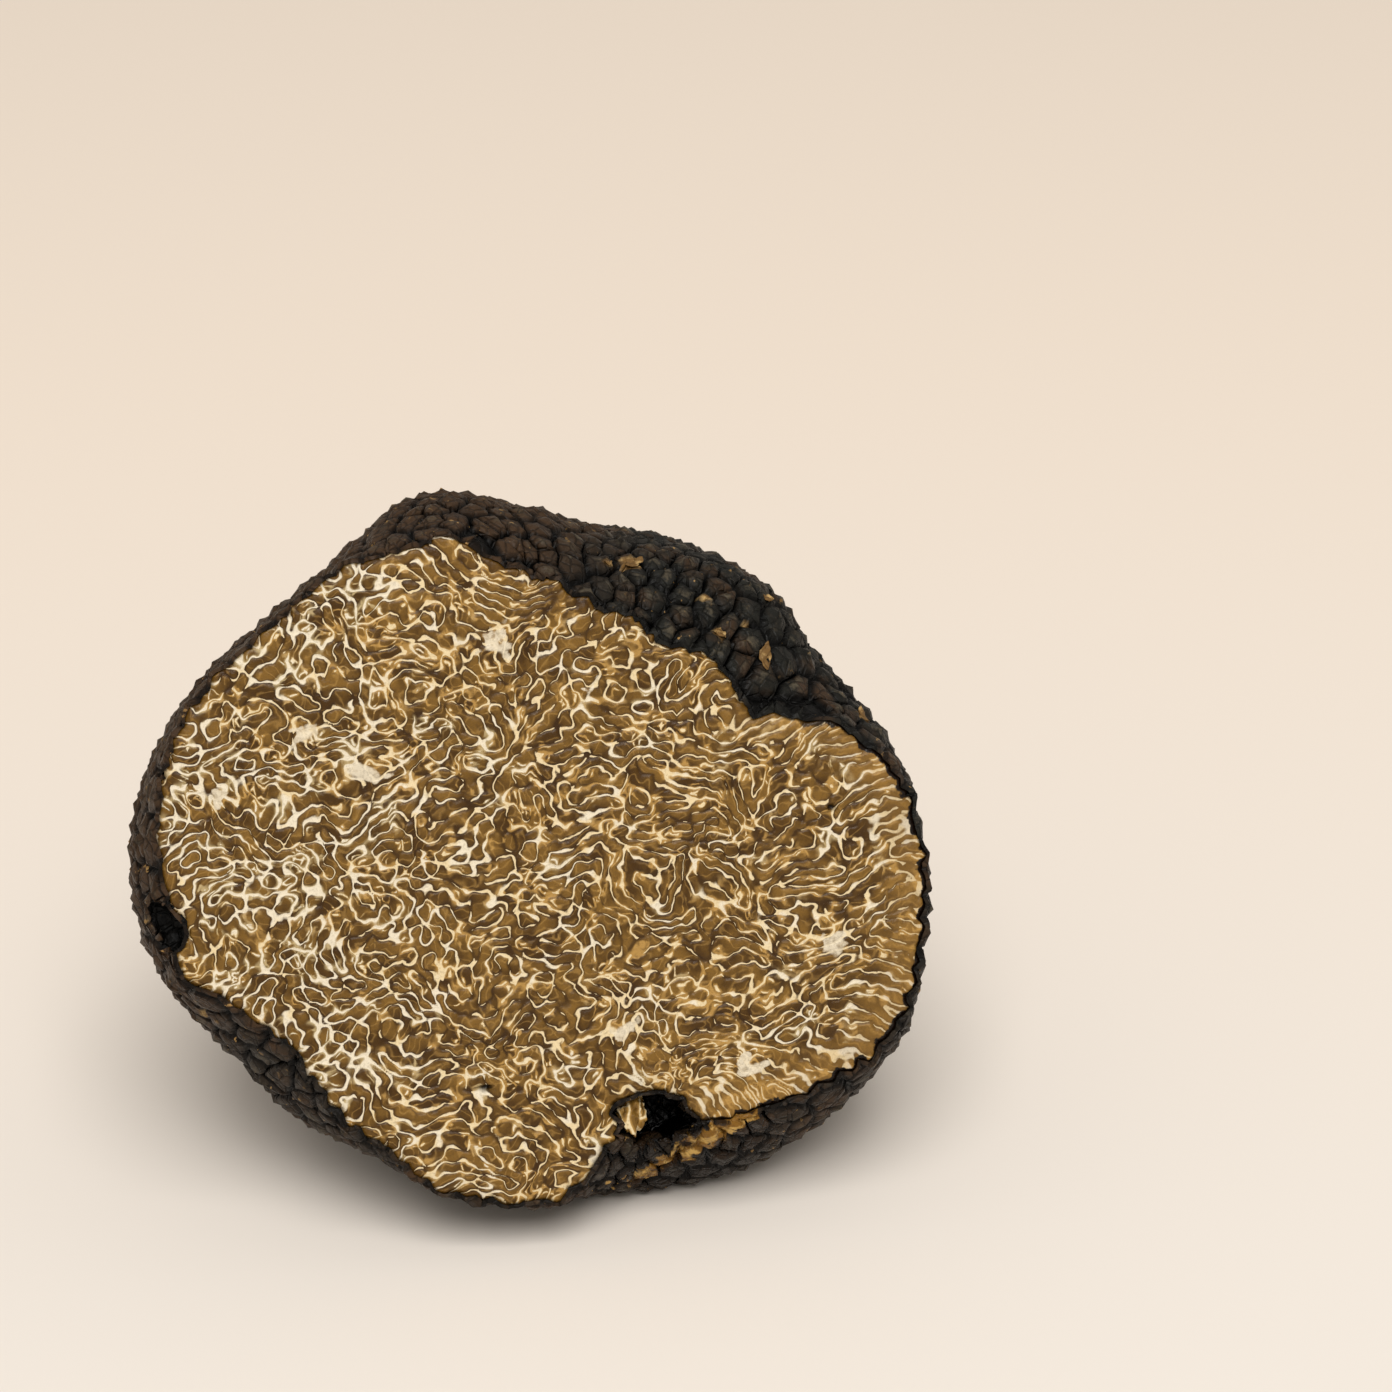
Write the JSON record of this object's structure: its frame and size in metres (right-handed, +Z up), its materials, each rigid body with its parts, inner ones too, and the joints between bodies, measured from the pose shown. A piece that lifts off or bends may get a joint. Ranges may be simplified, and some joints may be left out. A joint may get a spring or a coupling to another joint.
{
  "type": "black truffle, cut open",
  "caption": "Black truffle cut across, a little more than half of it left, with a warty black skin and marbled flesh, resting on its underside.",
  "frame": {"origin": "under the middle of the bounding box, on the surface that the truffle rests on", "axes": "+Z up; the cut face looks to -Y and leans back by 18 degrees; +X is to the right of someone who looks at the cut"},
  "size_m": [0.0526, 0.0396, 0.0461],
  "materials": {
    "peridium": "matte",
    "gleba": "satin"
  },
  "bodies": {
    "root": {"truffle_half": "peridium"}
  },
  "joints": []
}
